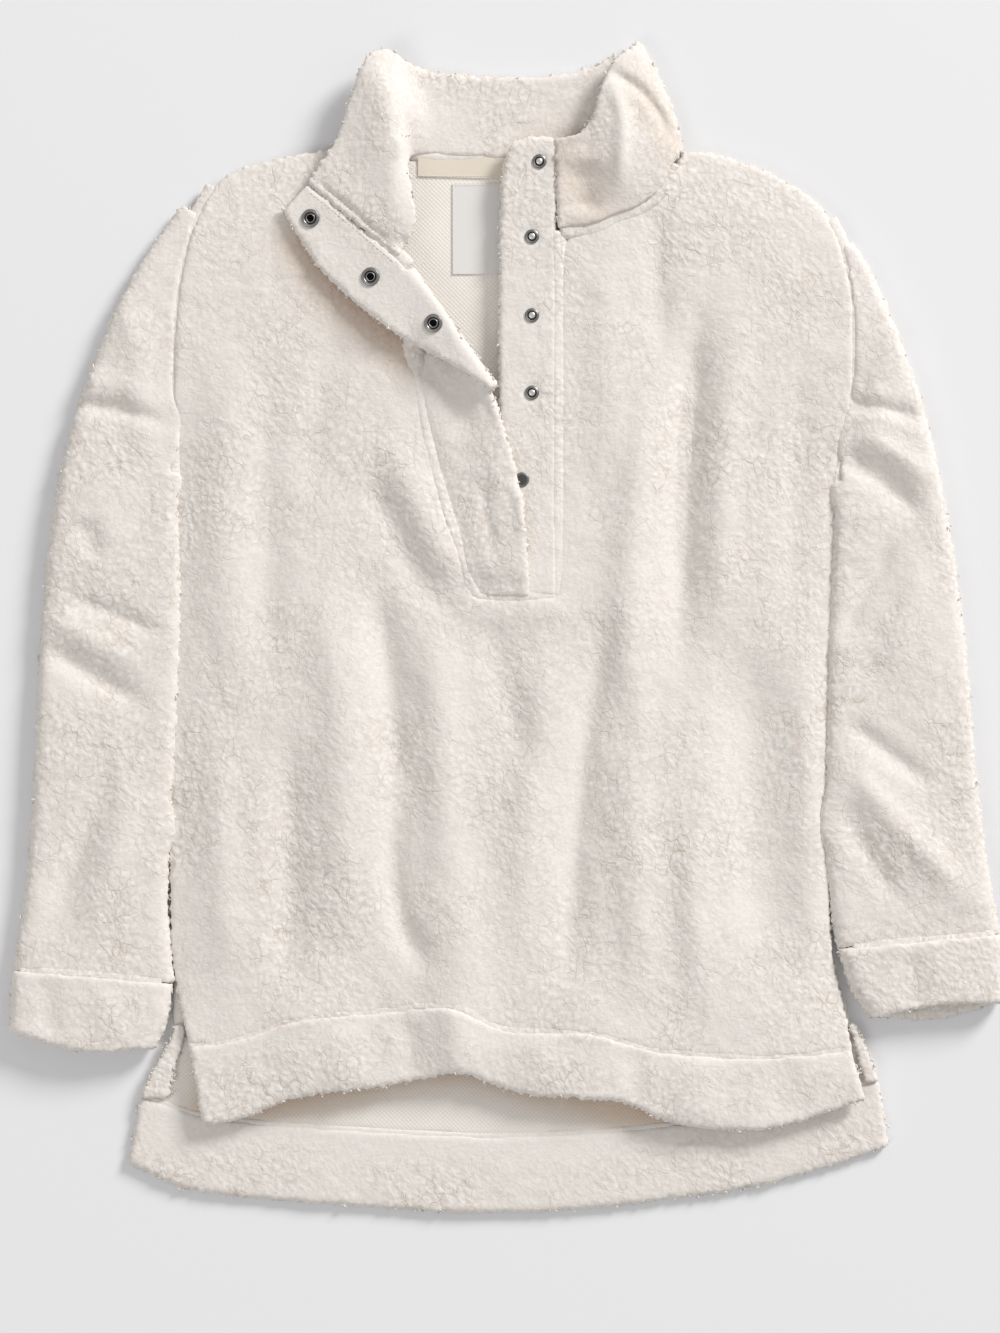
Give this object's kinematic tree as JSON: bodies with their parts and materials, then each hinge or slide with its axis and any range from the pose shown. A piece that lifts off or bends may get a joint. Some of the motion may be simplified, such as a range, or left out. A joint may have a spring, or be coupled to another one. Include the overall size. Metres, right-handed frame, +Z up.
{
  "type": "sherpa fleece pullover",
  "caption": "Sherpa fleece pullover laid flat, with a stand collar, half-open snap placket, banded cuffs and a longer back hem.",
  "frame": {"origin": "bottom centre of the bounding box, on the surface that the garment lies on", "axes": "+Y from the hem towards the collar, +Z up out of the surface, through the back and then the front, +X to the right as seen from above"},
  "size_m": [0.7455, 0.878, 0.0322],
  "materials": {
    "sherpa": "cream curly pile",
    "knit_backing": "cream plain knit, sherpa on the other side",
    "tape": "flat woven cotton tape",
    "label": "smooth woven, bare",
    "snap_metal": "dark gunmetal plate"
  },
  "bodies": {
    "root": {"back": "knit_backing", "front": "sherpa", "sleeve_left": "sherpa", "sleeve_right": "sherpa", "cuff_left": "sherpa", "cuff_right": "sherpa", "hem_front": "sherpa", "hem_back": "sherpa", "vent_fold_left": "sherpa", "vent_fold_right": "sherpa", "collar": "sherpa", "placket_over": "sherpa", "placket_under": "sherpa", "neck_tape": "tape", "label": "label", "socket_1": "snap_metal", "socket_2": "snap_metal", "socket_3": "snap_metal", "stud_1": "snap_metal", "stud_2": "snap_metal", "stud_3": "snap_metal", "stud_4": "snap_metal", "stud_5": "snap_metal"}
  },
  "joints": []
}
